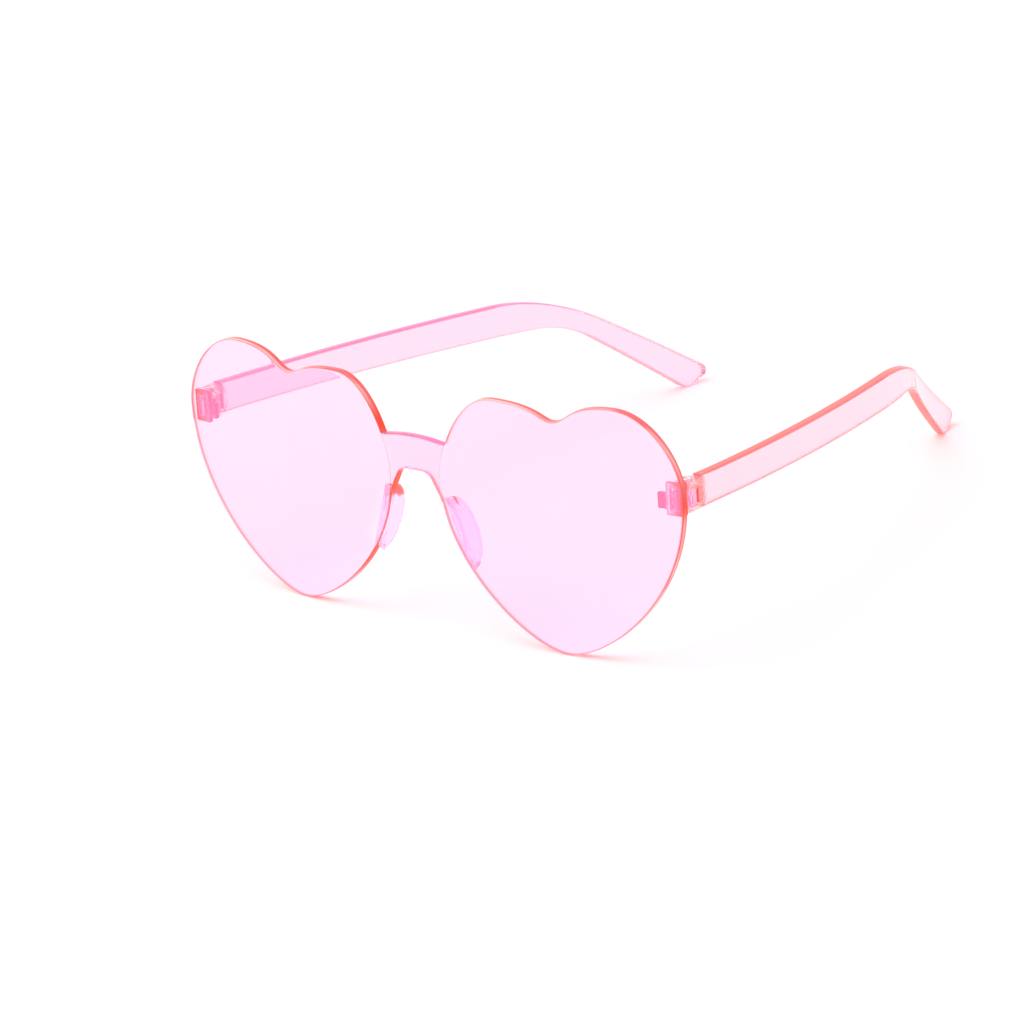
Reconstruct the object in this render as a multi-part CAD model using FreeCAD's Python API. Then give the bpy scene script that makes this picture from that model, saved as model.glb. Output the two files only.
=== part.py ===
"""Heart shaped sunglasses with flat tinted lenses and two folding temples.

Everything is drawn in the front's own frame, in millimetres: X to the wearer's left, Y to the back of
the head and Z up the hearts, with the hearts' tips at zero height. The left side is drawn and the right
side is its mirror image. At the end the open glasses are stood on a table, on the tips of the hearts and
of the temples, with the origin in the middle of their footprint.
"""
import FreeCAD, Part
import math
import os
from FreeCAD import Placement, Rotation, Vector

# Front
front_width = 140.0
lens_height = 58.0
lens_thickness = 2.0
lens_edge_round = 0.4
wrap_angle = 4.6
bridge_bend_reach = 8.0

# Heart outline: reach along the lens from the middle, and height above the tip
cleft_reach = 37.2
cleft_height = 53.2
outer_top_reach = 53.4
outer_side_height = 40.0
tip_reach = 38.0
inner_side_reach = 7.0
inner_side_height = 35.2
inner_top_reach = 21.8
inner_top_height = 56.2

# Heart outline: how far the curve runs straight on, before and after each of those points
cleft_pull_in = 2.6
cleft_pull_out = 4.4
outer_top_pull_in = 11.8
outer_top_pull_out = 9.0
outer_side_pull_in = 8.5
outer_side_pull_out = 24.0
tip_pull_in = 9.5
tip_pull_out = 10.2
inner_side_pull_in = 19.0
inner_side_pull_out = 8.0
inner_top_pull_in = 8.6
inner_top_pull_out = 11.6

# Bridge
bridge_thickness = 2.0
bridge_crown_height = 45.0
bridge_crown_round = 40.0
bridge_arch_height = 37.0
bridge_arch_width = 7.9
bridge_arch_round = 3.0
bridge_arch_flare_angle = 28.5
bridge_edge_round = 0.4
bridge_tuck = 2.0

# Nose pads
pad_height = 23.4
pad_length = 17.0
pad_depth = 5.2
pad_thickness = 2.2
pad_edge_inset = 0.6
pad_lean_angle = 18.0
pad_flare_angle = 4.0
pad_edge_round = 0.9

# Hinges
hinge_inset = 2.3
hinge_height = 39.55
barrel_radius = 2.0
knuckle_height = 3.6
knuckle_drop = 0.6
foot_edge_inset = 0.7
foot_width = 4.2
foot_height = 7.4
foot_thickness = 1.0
tab_width = 2.2
neck_width = 2.6
fork_height = 6.9
fork_root = 0.8
slot_reach = 3.0
axial_gap = 0.1
stop_gap = 0.3

# Hinge screws
screw_radius = 0.7
screw_running_gap = 0.05
screw_thread_gap = 0.02
screw_head_radius = 1.25
screw_head_height = 0.8
screw_head_sink = 0.5
screw_head_gap = 0.1
screw_end_short = 0.2
driver_slot_width = 0.35
driver_slot_depth = 0.35

# Temples: seen from the side, with the upper bend's distance behind the hinge pin, and angles below level
temple_thickness = 2.4
temple_root_height = 39.8
temple_width = 7.3
temple_edge_round = 0.5
top_slope_angle = 2.9
top_bend_reach = 101.8
top_bend_round = 54.5
bottom_slope_angle = 3.2
bottom_bend_behind_top = 3.9
bottom_bend_round = 24.5
tip_end_behind_bend = 37.0
tip_end_height = 10.7
tip_end_round = 2.0
tip_heel_ahead_of_end = 2.7
tip_heel_height = 11.5
tip_heel_round = 4.0

# Temples: seen from above, the inward turn at the hinge, before the bend, behind the bend and at the tip
hinge_turn_angle = 2.4
before_bend_turn_angle = 12.7
behind_bend_turn_angle = 27.2
tip_turn_angle = 14.5
turn_ahead_of_bend = 15.1
turn_behind_bend = 8.7

# Working allowances
beyond = 20.0
overrun = 1.0
hair = 1.0e-6

# Sizes worked out from those above
wrap = math.radians(wrap_angle)
bend_round = bridge_bend_reach / math.sin(wrap)
bend_set_back = bend_round * (1.0 - math.cos(wrap))
widest = front_width / 2.0 + lens_edge_round * math.sin(wrap)
outer_side_reach = bridge_bend_reach + (widest - bridge_bend_reach) / math.cos(wrap)
pin_reach = outer_side_reach - hinge_inset
pin_depth = foot_thickness + stop_gap + barrel_radius
bottom_bend_reach = top_bend_reach + bottom_bend_behind_top
tip_end_reach = top_bend_reach + tip_end_behind_bend
tip_heel_reach = top_bend_reach + (tip_end_behind_bend - tip_heel_ahead_of_end)
before_bend_reach = top_bend_reach - turn_ahead_of_bend
behind_bend_reach = top_bend_reach + turn_behind_bend
lens_place = Placement(Vector(bridge_bend_reach, bend_set_back, 0), Rotation(Vector(0, 0, 1), wrap_angle))
up = Vector(0, 0, 1)


def on_lens(reach, behind, height):
    """A point of the left lens, from its reach along the lens, its depth behind the face and its height."""
    return lens_place.multVec(Vector(reach - bridge_bend_reach, behind, height))


def lens_box(reach_from, reach_to, behind_from, behind_to, height_from, height_to):
    """A block square to the left lens, between two reaches, two depths and two heights."""
    box = Part.makeBox(reach_to - reach_from, behind_to - behind_from, height_to - height_from)
    box.translate(Vector(reach_from - bridge_bend_reach, behind_from, height_from))
    box.Placement = lens_place.multiply(box.Placement)
    return box


pin = on_lens(pin_reach, lens_thickness + pin_depth, 0)


def pin_rod(radius, height_from, height_to):
    """A round rod on the left hinge's pin axis."""
    return Part.makeCylinder(radius, height_to - height_from, Vector(pin.x, pin.y, height_from), up)


def heart_curves():
    """The heart's six curves, in the lens's own flat: X along the lens from the end of the bridge's bend."""
    level = Vector(1, 0, 0)
    stations = [
        (cleft_reach, cleft_height, level, cleft_pull_in, cleft_pull_out),
        (outer_top_reach, lens_height, level, outer_top_pull_in, outer_top_pull_out),
        (outer_side_reach, outer_side_height, -up, outer_side_pull_in, outer_side_pull_out),
        (tip_reach, 0.0, -level, tip_pull_in, tip_pull_out),
        (inner_side_reach, inner_side_height, up, inner_side_pull_in, inner_side_pull_out),
        (inner_top_reach, inner_top_height, level, inner_top_pull_in, inner_top_pull_out),
    ]
    curves = []
    for here, there in zip(stations, stations[1:] + stations[:1]):
        start = Vector(here[0] - bridge_bend_reach, 0, here[1])
        end = Vector(there[0] - bridge_bend_reach, 0, there[1])
        curve = Part.BezierCurve()
        curve.setPoles([start, start + here[2] * here[4], end - there[2] * there[3], end])
        curves.append(curve)
    return curves


def heart_prism(behind_from, behind_to):
    """The left heart as a plate between two depths behind the lens's face."""
    wire = Part.Wire([curve.toShape() for curve in heart_curves()])
    prism = Part.Face(wire).extrude(Vector(0, behind_to - behind_from, 0))
    prism.translate(Vector(0, behind_from, 0))
    prism.Placement = lens_place.multiply(prism.Placement)
    return prism


def lens():
    """The left lens: a flat heart with its front and back edges broken."""
    plate = heart_prism(0, lens_thickness)
    rims = [edge for face in plate.Faces if face.Surface.TypeId == "Part::GeomPlane" for edge in face.Edges]
    return plate.makeFillet(lens_edge_round, rims)


def inner_edge_reach(height):
    """The reach of the heart's nose edge at a height, found by halving the curve from the tip to the side."""
    curve = heart_curves()[3]
    low, high = 0.0, 1.0
    for _ in range(60):
        middle = (low + high) / 2.0
        if curve.value(middle).z < height:
            low = middle
        else:
            high = middle
    return curve.value(low).x + bridge_bend_reach


def bridge():
    """The bridge: a bowed strip between the hearts, with a flared arch over the nose, trimmed to both of them."""
    reach = bridge_bend_reach + bridge_tuck
    base = bridge_arch_height - beyond / 2.0
    front = Part.makeCylinder(bend_round, beyond * 3, Vector(0, bend_round, base), up)
    back = Part.makeCylinder(bend_round - bridge_thickness, beyond * 3, Vector(0, bend_round, base), up)
    block = Part.makeBox(2 * reach, beyond, beyond * 2, Vector(-reach, -hair, base))
    depth = Vector(0, 1, 0)
    crown_centre = Vector(0, -beyond, bridge_crown_height - bridge_crown_round)
    crown = Part.makeCylinder(bridge_crown_round, beyond * 3, crown_centre, depth)
    top = bridge_arch_width / 2.0
    foot = top + bridge_arch_height * math.tan(math.radians(bridge_arch_flare_angle))
    sides = [(-foot, 0), (-top, bridge_arch_height), (top, bridge_arch_height), (foot, 0), (-foot, 0)]
    outline = Part.makePolygon([Vector(across, -beyond, height) for across, height in sides])
    arch = Part.Face(outline).extrude(depth * (beyond * 3))
    corners = [edge for edge in arch.Edges if edge.BoundBox.YLength > beyond and edge.BoundBox.ZMin > base]
    arch = arch.makeFillet(bridge_arch_round, corners)
    strip = front.cut(back).common(block).common(crown).cut(arch)
    boxes = [(edge, edge.BoundBox) for edge in strip.Edges]
    broad = [(edge, box) for edge, box in boxes if box.YLength < bridge_thickness / 2.0 < box.XLength]
    rims = [edge for edge, box in broad if box.ZMax > base + overrun]
    strip = strip.makeFillet(bridge_edge_round, rims)
    heart = heart_prism(-beyond, beyond)
    return strip.cut(heart).cut(mirrored(heart)).removeSplitter()


def nose_pad():
    """The left nose pad: a half oval fin on the back of the lens, along the heart's nose edge."""
    top = Vector(0, 0, pad_length / 2.0)
    back = Vector(0, pad_depth, 0)
    root = Vector(0, -pad_depth - pad_thickness, 0)
    oval = Part.BezierCurve()
    oval.setPoles([top, top + back * 4.0 / 3.0, back * 4.0 / 3.0 - top, -top])
    corners = [-top, root - top, root + top, top]
    sides = [Part.makeLine(start, end) for start, end in zip(corners, corners[1:])]
    fin = Part.Face(Part.Wire([oval.toShape()] + sides)).extrude(Vector(pad_thickness, 0, 0))
    rims = [edge for edge in fin.Edges if edge.BoundBox.XLength < hair and edge.BoundBox.YMax > root.y + hair]
    fin = fin.makeFillet(pad_edge_round, rims)
    reach = inner_edge_reach(pad_height)
    origin = Vector(0, 0, 0)
    fin.rotate(origin, up, -pad_flare_angle)
    fin.rotate(origin, Vector(0, 1, 0), -pad_lean_angle)
    fin.translate(Vector(reach + pad_edge_inset - bridge_bend_reach, lens_thickness, pad_height))
    fin.Placement = lens_place.multiply(fin.Placement)
    side = 2 * pad_length
    return fin.cut(lens_box(reach - side, reach + side, -2 * side, lens_thickness, -side, pad_height + side))


def hinge_block():
    """The left front hinge half: a foot with a tab on the back of the lens, and the middle knuckle on a neck."""
    middle = hinge_height - knuckle_drop
    low = middle - knuckle_height / 2.0
    high = middle + knuckle_height / 2.0
    half = foot_height / 2.0
    foot_end = outer_side_reach - foot_edge_inset
    foot_start = foot_end - foot_width
    foot_back = lens_thickness + foot_thickness
    foot = lens_box(foot_start, foot_end, lens_thickness, foot_back, hinge_height - half, hinge_height + half)
    tab = lens_box(foot_start - tab_width, foot_end, lens_thickness, foot_back, low, high)
    neck_start = pin_reach - neck_width / 2.0
    neck = lens_box(neck_start, neck_start + neck_width, lens_thickness, lens_thickness + pin_depth, low, high)
    block = foot.fuse([tab, neck, pin_rod(barrel_radius, low, high)]).removeSplitter()
    return block.cut(pin_rod(screw_radius + screw_running_gap, low - beyond, high + beyond))


def tangent_point(start, centre, radius, side):
    """Where the line from a point touches a circle, on one side of it, in the side view."""
    toward = centre - start
    distance = toward.Length
    angle = math.atan2(toward.z, toward.y) + side * math.asin(radius / distance)
    run = math.sqrt(distance ** 2 - radius ** 2)
    return start + Vector(0, run * math.cos(angle), run * math.sin(angle))


def rounded_corner(before, corner, after, radius):
    """The start, middle and end of the arc that rounds a corner between two straight runs."""
    back = (before - corner).normalize()
    ahead = (after - corner).normalize()
    half = back.getAngle(ahead) / 2.0
    run = radius / math.tan(half)
    inward = (back + ahead).normalize()
    centre = corner + inward * (radius / math.sin(half))
    return corner + back * run, centre - inward * radius, corner + ahead * run


def temple_side():
    """The temple's outline from the side: two edges, each with one bend, round a heel and a smaller tip end."""
    end = Vector(0, pin.y + tip_end_reach, tip_end_height)
    heel = Vector(0, pin.y + tip_heel_reach, tip_heel_height)
    edges = []
    starts = []
    touches = []
    for side, slope_angle, reach, radius, centre, tip_round in (
        (1, top_slope_angle, top_bend_reach, top_bend_round, end, tip_end_round),
        (-1, bottom_slope_angle, bottom_bend_reach, bottom_bend_round, heel, tip_heel_round),
    ):
        fall = math.tan(math.radians(slope_angle))
        at_pin = Vector(0, pin.y, temple_root_height + side * temple_width / 2.0)
        start = at_pin + Vector(0, slot_reach, -slot_reach * fall)
        corner = at_pin + Vector(0, reach, -reach * fall)
        touch = tangent_point(corner, centre, tip_round, side)
        bend = rounded_corner(start, corner, touch, radius)
        edges += [Part.makeLine(start, bend[0]), Part.Arc(*bend).toShape(), Part.makeLine(bend[2], touch)]
        starts.append(start)
        touches.append(touch)
    across = heel - end
    slant = math.atan2(across.z, across.y) + math.acos((tip_end_round - tip_heel_round) / across.Length)
    outward = Vector(0, math.cos(slant), math.sin(slant))
    ends = []
    for touch, centre, tip_round in ((touches[0], end, tip_end_round), (touches[1], heel, tip_heel_round)):
        between = (outward + (touch - centre).normalize()).normalize()
        ends.append(centre + outward * tip_round)
        edges.append(Part.Arc(touch, centre + between * tip_round, ends[-1]).toShape())
    edges += [Part.makeLine(*ends), Part.makeLine(*starts)]
    return Part.Face(Part.Wire(Part.__sortEdges__(edges)))


def temple_plan():
    """The temple's strip from above: its outer face passes the barrel, then turns in three tangent arcs."""
    end_reach = tip_end_reach + tip_end_round + overrun
    legs = [
        (hinge_turn_angle, before_bend_turn_angle, before_bend_reach),
        (before_bend_turn_angle, behind_bend_turn_angle, behind_bend_reach - before_bend_reach),
        (behind_bend_turn_angle, tip_turn_angle, end_reach - behind_bend_reach),
    ]
    heading = math.radians(hinge_turn_angle)
    outer = Vector(pin.x + barrel_radius, pin.y, 0)
    lead = Vector(math.sin(heading), -math.cos(heading), 0) * (pin_depth + beyond)
    inward = Vector(-math.cos(heading), -math.sin(heading), 0)
    inner = outer + inward * temple_thickness
    edges = [Part.makeLine(outer + lead, outer), Part.makeLine(inner + lead, inner)]
    edges.append(Part.makeLine(outer + lead, inner + lead))
    for turn_from, turn_to, run in legs:
        first, last = math.radians(turn_from), math.radians(turn_to)
        radius = run / (math.sin(last) - math.sin(first))
        first_in = Vector(-math.cos(first), -math.sin(first), 0)
        centre = outer + first_in * radius
        for offset in (0.0, temple_thickness):
            stops = []
            for angle in (first, (first + last) / 2.0, last):
                stops.append(centre + Vector(math.cos(angle), math.sin(angle), 0) * (radius - offset))
            edges.append(Part.Arc(*stops).toShape())
        outer = centre + Vector(math.cos(last), math.sin(last), 0) * radius
        inner = centre + Vector(math.cos(last), math.sin(last), 0) * (radius - temple_thickness)
    edges.append(Part.makeLine(outer, inner))
    return Part.Face(Part.Wire(Part.__sortEdges__(edges)))


def temple():
    """The left temple: a strip bent over the ear, and a fork whose front faces stop against the hinge foot."""
    wide = 2 * front_width
    plan = temple_plan()
    profile = temple_side().extrude(Vector(wide, 0, 0))
    strip = plan.extrude(Vector(0, 0, wide)).common(profile)
    rims = [edge for edge in strip.Edges if edge.BoundBox.YLength > temple_edge_round]
    strip = strip.makeFillet(temple_edge_round, rims)
    low = hinge_height - fork_height / 2.0
    high = hinge_height + fork_height / 2.0
    fork_end = pin.y + slot_reach + fork_root
    fork = plan.extrude(Vector(0, 0, fork_height))
    fork.translate(Vector(0, 0, low))
    fork = fork.common(Part.makeBox(wide, wide, wide, Vector(0, fork_end - wide, 0)))
    slot_height = knuckle_height + 2 * axial_gap
    slot_corner = Vector(0, pin.y + slot_reach - wide, hinge_height - knuckle_drop - slot_height / 2.0)
    stop_depth = lens_thickness + foot_thickness + stop_gap
    shape = strip.fuse([fork, pin_rod(barrel_radius, low, high)])
    for tool in (
        Part.makeBox(wide, wide, slot_height, slot_corner),
        lens_box(0, wide, -wide, stop_depth, -wide, wide),
        pin_rod(screw_radius + screw_running_gap, hinge_height, wide),
        pin_rod(screw_radius + screw_thread_gap, 0, hinge_height),
        pin_rod(screw_head_radius + screw_head_gap, high - screw_head_sink, wide),
    ):
        shape = shape.cut(tool)
    return shape.removeSplitter()


def hinge_screw():
    """The left hinge screw: a slotted flat head in its sink, and a plain shank through the three knuckles."""
    seat = hinge_height + fork_height / 2.0 - screw_head_sink
    top = seat + screw_head_height
    shank = pin_rod(screw_radius, hinge_height - fork_height / 2.0 + screw_end_short, seat)
    head = pin_rod(screw_head_radius, seat, top)
    length = 4 * screw_head_radius
    corner = Vector(pin.x - length / 2.0, pin.y - driver_slot_width / 2.0, top - driver_slot_depth)
    return shank.fuse(head).removeSplitter().cut(Part.makeBox(length, driver_slot_width, beyond, corner))


def mirrored(shape):
    """The same shape on the wearer's right."""
    return shape.mirror(Vector(0, 0, 0), Vector(1, 0, 0))


def table_lean():
    """The angle, in radians, by which the front leans so that hearts and temples touch one table."""
    heart_edge = on_lens(tip_reach, lens_thickness - lens_edge_round, lens_edge_round)
    behind = pin.y + tip_heel_reach - heart_edge.y
    above = tip_heel_height - heart_edge.z
    slant = math.acos((tip_heel_round - lens_edge_round) / math.hypot(behind, above))
    return slant - math.atan2(behind, above)


def stand(nodes):
    """Put every node on the table, with the origin in the middle of the footprint."""
    turn = Rotation(Vector(1, 0, 0), -math.degrees(table_lean()))
    for shape in nodes.values():
        shape.Placement = Placement(Vector(0, 0, 0), turn).multiply(shape.Placement)
    box = Part.makeCompound(list(nodes.values())).optimalBoundingBox(False, False)
    shift = Vector(0, -(box.YMin + box.YMax) / 2.0, -box.ZMin)
    for shape in nodes.values():
        shape.Placement = Placement(shift, Rotation()).multiply(shape.Placement)
    return Placement(shift, turn)


def build():
    """Every node by name, on the table, and the place that took the front's frame there."""
    nodes = {"nose_bridge": bridge().Solids[0]}
    for name, make in (
        ("lens", lens),
        ("nose_pad", nose_pad),
        ("hinge_block", hinge_block),
        ("temple", temple),
        ("hinge_screw", hinge_screw),
    ):
        left = make().Solids[0]
        nodes["left_" + name] = left
        nodes["right_" + name] = mirrored(left)
    place = stand(nodes)
    return nodes, place


nodes, place = build()
os.makedirs("parts", exist_ok=True)
for name, shape in nodes.items():
    shape.exportStep(os.path.join("parts", name + ".step"))
    box = shape.optimalBoundingBox(False, False)
    sizes = [round(size, 2) for size in (box.XLength, box.YLength, box.ZLength)]
    print(name, shape.ShapeType, len(shape.Solids), shape.isValid(), round(shape.Volume, 2), sizes)

whole = Part.makeCompound(list(nodes.values())).optimalBoundingBox(False, False)
hinge = place.multVec(Vector(pin.x, pin.y, hinge_height))
axis = place.Rotation.multVec(up)
print("overall", round(whole.XLength, 3), round(whole.YLength, 3), round(whole.ZLength, 3))
print("lean", round(math.degrees(table_lean()), 4), "shift", [round(value, 4) for value in place.Base])
print("left hinge", [round(value, 4) for value in hinge], "axis", [round(value, 6) for value in axis])
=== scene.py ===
import logging
import math
from dataclasses import dataclass, field
from enum import Enum
from functools import partial

import bpy
import numpy as np
from mathutils import Matrix


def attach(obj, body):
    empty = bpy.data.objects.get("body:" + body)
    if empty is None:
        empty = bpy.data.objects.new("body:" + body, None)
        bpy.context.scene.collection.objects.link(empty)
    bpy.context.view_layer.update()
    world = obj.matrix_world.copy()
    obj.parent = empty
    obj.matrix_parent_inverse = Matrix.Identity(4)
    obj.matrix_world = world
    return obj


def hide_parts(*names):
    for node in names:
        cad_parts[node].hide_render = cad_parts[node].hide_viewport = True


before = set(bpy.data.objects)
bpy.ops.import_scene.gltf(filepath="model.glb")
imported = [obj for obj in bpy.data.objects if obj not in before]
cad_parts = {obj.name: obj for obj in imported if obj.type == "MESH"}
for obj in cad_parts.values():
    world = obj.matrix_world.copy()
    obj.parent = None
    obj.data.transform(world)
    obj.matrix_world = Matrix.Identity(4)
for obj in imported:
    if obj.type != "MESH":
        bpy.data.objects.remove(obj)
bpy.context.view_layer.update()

Array = np.ndarray
Colour = tuple[float, float, float, float]
Pair = tuple[float, float]

# An end of a window that is left open.
OPEN = math.inf
MM_PER_METRE = 1000.0

log = logging.getLogger("heart_sunglasses")


class Side(Enum):
    """The wearer's side, with the sign that mirrors a left shape onto it."""

    LEFT = 1.0
    RIGHT = -1.0

    @property
    def word(self) -> str:
        """The side's word in the names of pieces."""
        return self.name.lower()


class Mark(Enum):
    """What a point's attribute tells its material."""

    # rim: share of painted edge glow; core: painted pale highlight streak and rib stripes; hot: painted hot
    # glow; bond: faces that turn clear, where pieces are bonded or a rim has no painted glow.
    RIM = "rim"
    CORE = "core"
    HOT = "hot"
    BOND = "bond"


@dataclass(frozen=True)
class Stance:
    """How the open glasses stand: the lean of the front, and the shift to the middle of the footprint."""

    lean_deg: float = 3.0174
    shift_mm: tuple[float, float, float] = (0.0, -76.6173, 0.2281)
    metres: float = 0.001

    def turn(self, vectors: Array) -> Array:
        """Lean vectors with the front: a turn about X by the lean.

        Args:
            vectors: Vectors in the front's frame, in the last axis.

        Returns:
            The same vectors in the table's frame.
        """
        lean = math.radians(self.lean_deg)
        x, y, z = np.moveaxis(np.asarray(vectors, float), -1, 0)
        back = y * math.cos(lean) + z * math.sin(lean)
        high = z * math.cos(lean) - y * math.sin(lean)
        return np.stack([x, back, high], -1)

    def place(self, points: Array) -> Array:
        """Stand points on the table: lean, shift, and millimetres to metres.

        Args:
            points: Points in the front's frame, in millimetres.

        Returns:
            Points in the table's frame, in metres.
        """
        return (self.turn(points) + np.array(self.shift_mm)) * self.metres


STANCE = Stance()


def linear(code: str) -> Colour:
    """Turn an sRGB hex colour into linear light.

    Args:
        code: A colour such as "#ffe5fa".

    Returns:
        Linear red, green and blue, and an alpha of one.
    """
    srgb = np.array([int(code[k:k + 2], 16) for k in (1, 3, 5)]) / 255.0
    light = np.where(srgb <= 0.04045, srgb / 12.92, ((srgb + 0.055) / 1.055) ** 2.4)
    return (*light.tolist(), 1.0)


def add_node(
    tree: bpy.types.NodeTree, kind: str, settings: dict | None = None, links: dict | None = None
) -> bpy.types.Node:
    """Add one shader node.

    Args:
        tree: The node tree.
        kind: The node's type.
        settings: Values by the name or number of an input, or by the name of a property.
        links: Output sockets by the name or number of the input they feed.

    Returns:
        The new node.
    """
    node = tree.nodes.new(kind)
    for name, value in (settings or {}).items():
        if isinstance(name, int) or name in node.inputs:
            node.inputs[name].default_value = value
        else:
            setattr(node, name, value)
    for name, socket in (links or {}).items():
        tree.links.new(socket, node.inputs[name])
    return node


def blank_material(name: str) -> bpy.types.Material:
    """Add a material with an empty node tree.

    Args:
        name: The material's name.

    Returns:
        The material.
    """
    made = bpy.data.materials.new(name)
    made.use_nodes = True
    made.node_tree.nodes.clear()
    return made


@dataclass(frozen=True)
class DyedPolycarbonatePaintedGlow:
    """Clear moulded polycarbonate with a pale pink dye, and a painted glow on its cut edges.

    Its polished faces pass light with a faint tint. The cut edges have a painted glow, coral or rose, for
    light that runs along inside the sheet and gathers there, with a painted pale highlight streak along the
    middle of the widest edges.
    """

    name: str
    tint: str
    edge: str
    hot: str
    pale: str
    deep: str
    streak: float = 0.0
    roughness: float = 0.03
    glow: float = 0.82
    guided: float = 0.12
    mirror: float = 0.6
    thin: float = 0.4
    shadow: str = "#fff6fd"
    ior: float = 1.585
    flow_mm: float = 16.0
    streak_mm: float = 11.0
    flow_share: Pair = (0.45, 0.85)
    flow_depth: float = 0.35
    streak_share: Pair = (0.40, 0.60)
    edge_roughness: float = 0.3
    edge_specular: float = 0.2
    rib_mm: float = 0.0
    rib_start_mm: float = 66.2
    rib_share: Pair = (0.2, 0.7)
    rib_glow: float = 0.8

    def material(self) -> bpy.types.Material:
        """Build the node material, or give back the one that is built.

        Returns:
            The material, which reads the marks of a piece.
        """
        if self.name in bpy.data.materials:
            return bpy.data.materials[self.name]
        made = blank_material(self.name)
        add = partial(add_node, made.node_tree)
        place = add("ShaderNodeTexCoord").outputs["Object"]
        rim, core, hot, bond = (
            add("ShaderNodeAttribute", {"attribute_name": mark.value}).outputs["Fac"]
            for mark in (Mark.RIM, Mark.CORE, Mark.HOT, Mark.BOND)
        )
        if self.rib_mm > 0.0:
            # Painted stripes of glow on the marked faces stand in for light that upright ribs catch, one rib
            # width apart, alike on both sides.
            turn = 2.0 * math.pi / self.rib_mm
            across = add("ShaderNodeSeparateXYZ", None, {0: place}).outputs["X"]
            away = add("ShaderNodeMath", {"operation": "ABSOLUTE"}, {0: across})
            angle = add(
                "ShaderNodeMath",
                {"operation": "MULTIPLY_ADD", 1: MM_PER_METRE * turn, 2: -self.rib_start_mm * turn},
                {0: away.outputs[0]},
            )
            crest = add("ShaderNodeMath", {"operation": "COSINE"}, {0: angle.outputs[0]})
            low, high = self.rib_share
            ribs = add("ShaderNodeMapRange", {1: low, 2: high, 4: self.rib_glow}, {0: crest.outputs[0]})
            marked = add("ShaderNodeMath", {"operation": "MULTIPLY"}, {0: ribs.outputs[0], 1: core})
            rim = add("ShaderNodeMath", {"operation": "MAXIMUM"}, {0: rim, 1: marked.outputs[0]}).outputs[0]
        # Faint flow lines of the melt, a little deeper in tint, one flow width apart.
        scale = MM_PER_METRE / self.flow_mm
        flow = add("ShaderNodeTexNoise", {"Scale": scale, "Detail": 3.0}, {"Vector": place})
        low, high = self.flow_share
        deeper = add("ShaderNodeMapRange", {1: low, 2: high, 4: self.flow_depth}, {0: flow.outputs["Fac"]})
        face = add(
            "ShaderNodeMix", {"data_type": "RGBA", 6: linear(self.tint), 7: linear(self.deep)},
            {0: deeper.outputs[0]},
        ).outputs[2]
        # The painted pale highlight streak comes and goes along the edge, and drowns where the painted glow
        # is hot.
        wave = add(
            "ShaderNodeTexNoise", {"Scale": MM_PER_METRE / self.streak_mm, "Detail": 1.0}, {"Vector": place}
        )
        low, high = self.streak_share
        gaps = add("ShaderNodeMapRange", {1: low, 2: high, 4: self.streak}, {0: wave.outputs["Fac"]})
        cool = add("ShaderNodeMath", {"operation": "SUBTRACT", 0: 1.0}, {1: hot})
        middle = add("ShaderNodeMath", {"operation": "MULTIPLY"}, {0: core, 1: cool.outputs[0]})
        streak = add("ShaderNodeMath", {"operation": "MULTIPLY"}, {0: gaps.outputs[0], 1: middle.outputs[0]})
        warm = add(
            "ShaderNodeMix", {"data_type": "RGBA", 6: linear(self.edge), 7: linear(self.hot)}, {0: hot}
        ).outputs[2]
        edge = add(
            "ShaderNodeMix", {"data_type": "RGBA", 7: linear(self.pale)}, {0: streak.outputs[0], 6: warm}
        ).outputs[2]
        # Inside faces give off a little painted glow, for light that picks up glow on its way inside the
        # sheet, and the painted edge colour fades towards the tint where an edge is seen through the sheet.
        inside = add("ShaderNodeNewGeometry").outputs["Backfacing"]
        thinned = add("ShaderNodeMath", {"operation": "MULTIPLY", 1: self.thin}, {0: inside})
        edge = add(
            "ShaderNodeMix", {"data_type": "RGBA", 7: linear(self.tint)}, {0: thinned.outputs[0], 6: edge}
        ).outputs[2]
        picked = add("ShaderNodeMath", {"operation": "MULTIPLY", 1: self.guided}, {0: inside})
        clear = add(
            "ShaderNodeBsdfPrincipled",
            {
                "Roughness": self.roughness, "IOR": self.ior, "Transmission Weight": 1.0,
                "Emission Color": linear(self.edge),
            },
            {"Base Color": face, "Emission Strength": picked.outputs[0]},
        )
        # The edge's glow is painted as emission, and its base colour is darker by that share.
        base = add(
            "ShaderNodeMix", {"data_type": "RGBA", 0: self.glow, 7: (0.0, 0.0, 0.0, 1.0)}, {6: edge}
        ).outputs[2]
        lit = add(
            "ShaderNodeBsdfPrincipled",
            {
                "Roughness": self.edge_roughness, "IOR": self.ior, "Specular IOR Level": self.edge_specular,
                "Emission Strength": self.glow,
            },
            {"Base Color": base, "Emission Color": edge},
        )
        # From inside, much of the edge mirrors; the painted glow shows where light can leave the sheet.
        shine = add("ShaderNodeFresnel", {"IOR": self.ior})
        kept = add("ShaderNodeMath", {"operation": "MULTIPLY"}, {0: shine.outputs[0], 1: inside})
        leaving = add(
            "ShaderNodeMath", {"operation": "MULTIPLY_ADD", 1: -self.mirror, 2: 1.0}, {0: kept.outputs[0]}
        )
        share = add("ShaderNodeMath", {"operation": "MULTIPLY"}, {0: leaving.outputs[0], 1: rim})
        sheet = add(
            "ShaderNodeMixShader", None, {0: share.outputs[0], 1: clear.outputs[0], 2: lit.outputs[0]}
        )
        # Where two pieces are bonded, their faces vanish into each other.
        joined = add("ShaderNodeBsdfTransparent")
        seen = add("ShaderNodeMixShader", None, {0: bond, 1: sheet.outputs[0], 2: joined.outputs[0]})
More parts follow.
